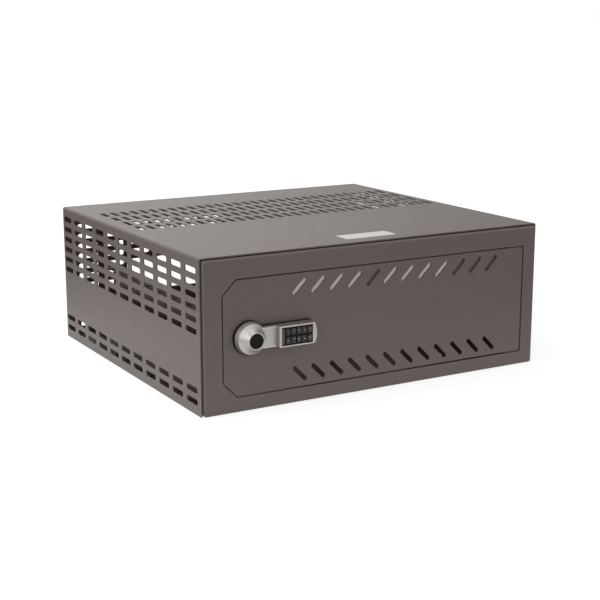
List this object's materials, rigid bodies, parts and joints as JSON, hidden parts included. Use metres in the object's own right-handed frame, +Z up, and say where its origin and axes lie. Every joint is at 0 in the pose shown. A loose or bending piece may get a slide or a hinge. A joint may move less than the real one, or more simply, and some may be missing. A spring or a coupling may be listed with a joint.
{
  "type": "video recorder lock box",
  "caption": "Ventilated steel lock box for a video recorder: hinged front door with a keypad lever lock, slotted top, sides and back, and a rear cable opening.",
  "frame": {"origin": "centre of the base's underside, where the cabinet rests", "axes": "+X to the right seen from the front, -Y out of the door, +Z up"},
  "size_m": [0.47, 0.4504, 0.1802],
  "materials": {
    "paint": "satin powder coat",
    "satin_metal": "satin",
    "zinc_steel": "zinc plated",
    "black_plastic": "matt",
    "key_plastic": "matt",
    "key_rubber": "matt",
    "light_guide": "clear",
    "circuit_board": "solder mask",
    "felt": "pale felt",
    "label": "satin film"
  },
  "bodies": {
    "cabinet": {"outer_shell": "paint", "front_frame": "paint", "base_plate": "paint", "back_panel": "paint", "left_guard_plate": "paint", "right_guard_plate": "paint", "blank_label": "label", "striker": "paint", "door_stops": "paint", "top_rebate": "paint", "lower_hinge_bracket": "paint", "upper_hinge_bracket": "paint", "hinge_guard": "paint", "hinge_pins": "zinc_steel"},
    "door": {"door_panel": "paint", "filter_strips": "felt", "lower_hinge_ear": "paint", "upper_hinge_ear": "paint", "lock_housing": "satin_metal", "lock_nut": "zinc_steel"},
    "handle": {"handle_body": "satin_metal", "handle_back_cover": "black_plastic", "handle_screws": "zinc_steel", "centre_cap": "black_plastic", "spindle": "zinc_steel", "cam": "zinc_steel", "cam_washer": "zinc_steel", "cam_screw": "zinc_steel", "lock_solenoid": "zinc_steel", "keypad_panel": "black_plastic", "status_light": "light_guide", "key_mat": "key_rubber", "circuit_board": "circuit_board", "battery_cell": "zinc_steel"},
    "locking_pin": {"locking_pin": "zinc_steel"},
    "key_1": {"key_1": "key_plastic"},
    "key_2": {"key_2": "key_plastic"},
    "key_3": {"key_3": "key_plastic"},
    "key_4": {"key_4": "key_plastic"},
    "key_5": {"key_5": "key_plastic"},
    "key_6": {"key_6": "key_plastic"},
    "key_7": {"key_7": "key_plastic"},
    "key_8": {"key_8": "key_plastic"},
    "key_9": {"key_9": "key_plastic"},
    "key_0": {"key_0": "key_plastic"}
  },
  "joints": [
    {"name": "door_swing", "type": "hinge", "parent": "cabinet", "child": "door", "pos_m": [0.1982, -0.2095, 0.0855], "axis": [0, 0, 1], "range_deg": [0, 110]},
    {"name": "handle_turn", "type": "hinge", "parent": "door", "child": "handle", "pos_m": [-0.177, -0.215, 0.0855], "axis": [0, -1, 0], "range_deg": [0, 90]},
    {"name": "locking_pin_slide", "type": "slide", "parent": "handle", "child": "locking_pin", "axis": [0, 1, 0], "range_m": [0, 0.0024], "stiffness_N_per_m": 60},
    {"name": "key_1_press", "type": "slide", "parent": "handle", "child": "key_1", "axis": [0, 1, 0], "range_m": [0, 0.0008], "stiffness_N_per_m": 400},
    {"name": "key_2_press", "type": "slide", "parent": "handle", "child": "key_2", "axis": [0, 1, 0], "range_m": [0, 0.0008], "stiffness_N_per_m": 400},
    {"name": "key_3_press", "type": "slide", "parent": "handle", "child": "key_3", "axis": [0, 1, 0], "range_m": [0, 0.0008], "stiffness_N_per_m": 400},
    {"name": "key_4_press", "type": "slide", "parent": "handle", "child": "key_4", "axis": [0, 1, 0], "range_m": [0, 0.0008], "stiffness_N_per_m": 400},
    {"name": "key_5_press", "type": "slide", "parent": "handle", "child": "key_5", "axis": [0, 1, 0], "range_m": [0, 0.0008], "stiffness_N_per_m": 400},
    {"name": "key_6_press", "type": "slide", "parent": "handle", "child": "key_6", "axis": [0, 1, 0], "range_m": [0, 0.0008], "stiffness_N_per_m": 400},
    {"name": "key_7_press", "type": "slide", "parent": "handle", "child": "key_7", "axis": [0, 1, 0], "range_m": [0, 0.0008], "stiffness_N_per_m": 400},
    {"name": "key_8_press", "type": "slide", "parent": "handle", "child": "key_8", "axis": [0, 1, 0], "range_m": [0, 0.0008], "stiffness_N_per_m": 400},
    {"name": "key_9_press", "type": "slide", "parent": "handle", "child": "key_9", "axis": [0, 1, 0], "range_m": [0, 0.0008], "stiffness_N_per_m": 400},
    {"name": "key_0_press", "type": "slide", "parent": "handle", "child": "key_0", "axis": [0, 1, 0], "range_m": [0, 0.0008], "stiffness_N_per_m": 400}
  ]
}
